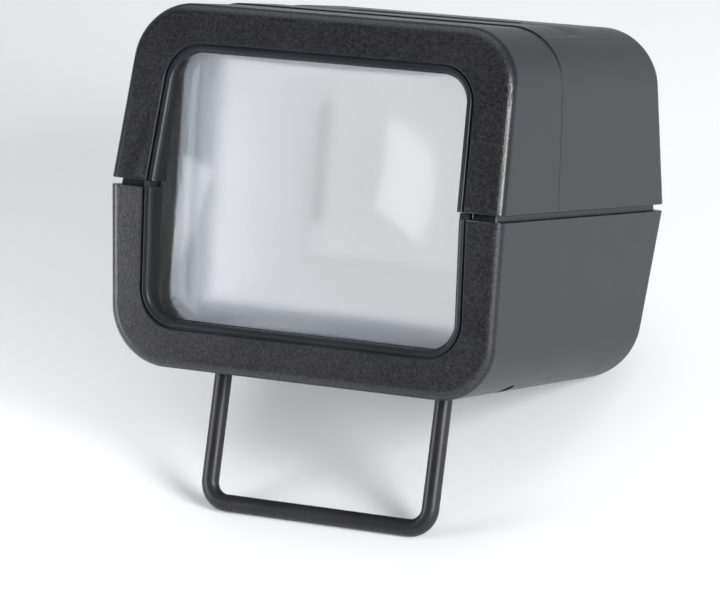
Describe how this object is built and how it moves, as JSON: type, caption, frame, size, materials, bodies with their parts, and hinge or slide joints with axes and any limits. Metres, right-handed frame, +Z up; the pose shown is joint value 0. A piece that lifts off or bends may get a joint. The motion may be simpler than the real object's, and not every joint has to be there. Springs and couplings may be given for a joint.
{
  "type": "slide viewer",
  "caption": "Table-top viewer for mounted slides: boxy dark plastic body, large rounded rectangular lens, slot in the top, lift-off rear cover and folding wire stand.",
  "frame": {"origin": "bottom centre of the bounding box: on the table under the middle of the object as it stands on its wire stand and lower rear edge", "axes": "+X to the right of a person who looks into the lens, +Y away from that person, +Z up; the body leans back 26.2 degrees about X"},
  "size_m": [0.102, 0.1208, 0.1147],
  "materials": {
    "shell": "dark grey moulded plastic, spark-eroded grain",
    "lens": "clear polished acrylic",
    "wire": "black enamelled wire",
    "black_plastic": "black moulded plastic",
    "white_plastic": "white moulded plastic",
    "opal": "translucent opal plastic",
    "spring_steel": "bright spring steel",
    "screw_steel": "zinc-plated steel",
    "contact_brass": "stamped brass strip",
    "bulb_glass": "clear blown glass",
    "cell_sleeve": "plain printed sleeve over a metal can"
  },
  "bodies": {
    "root": {"lower_shell": "shell", "upper_front_frame": "shell", "lens": "lens", "lens_retainer": "white_plastic", "light_shaft": "white_plastic", "slide_gate_front": "white_plastic", "slide_gate_rear": "white_plastic", "slide_spring_left": "spring_steel", "slide_spring_right": "spring_steel", "carrier_spring_left": "spring_steel", "carrier_spring_right": "spring_steel", "diffuser": "opal", "lamp_house": "white_plastic", "lamp_socket": "black_plastic", "bulb_base": "contact_brass", "bulb_glass": "bulb_glass", "lamp_strip": "contact_brass", "switch_block": "black_plastic", "contact_positive": "contact_brass", "contact_negative": "contact_brass", "contact_link": "contact_brass", "battery_tray": "black_plastic", "battery_1": "cell_sleeve", "battery_2": "cell_sleeve", "housing_screw_left": "screw_steel", "housing_screw_right": "screw_steel", "retainer_screw_upper_left": "screw_steel", "retainer_screw_upper_right": "screw_steel", "retainer_screw_lower_left": "screw_steel", "retainer_screw_lower_right": "screw_steel"},
    "stand": {"wire_stand": "wire"},
    "rear_cover": {"rear_cover": "shell"},
    "carrier": {"slide_carrier": "white_plastic"},
    "switch_leaf": {"switch_leaf": "contact_brass"}
  },
  "joints": [
    {"name": "stand_hinge", "type": "hinge", "parent": "root", "child": "stand", "pos_m": [0, -0.03871, 0.03229], "axis": [1, 0, 0], "range_deg": [0, 96.8]},
    {"name": "rear_cover_lift", "type": "slide", "parent": "root", "child": "rear_cover", "axis": [0, 0.4411, 0.8974], "range_m": [0, 0.06]},
    {"name": "carrier_press", "type": "slide", "parent": "root", "child": "carrier", "axis": [0, -0.4411, -0.8974], "range_m": [0, 0.006], "stiffness_N_per_m": 250, "springref_m": -0.003, "deforming": ["carrier_spring_left", "carrier_spring_right"]},
    {"name": "leaf_bend", "type": "hinge", "parent": "root", "child": "switch_leaf", "pos_m": [0.0335, 0.02404, 0.02618], "axis": [1, 0, 0], "range_deg": [0, 12]}
  ],
  "couplings": [
    {"joint": "leaf_bend", "follows": "carrier_press", "rad_per_m": 34.483}
  ]
}
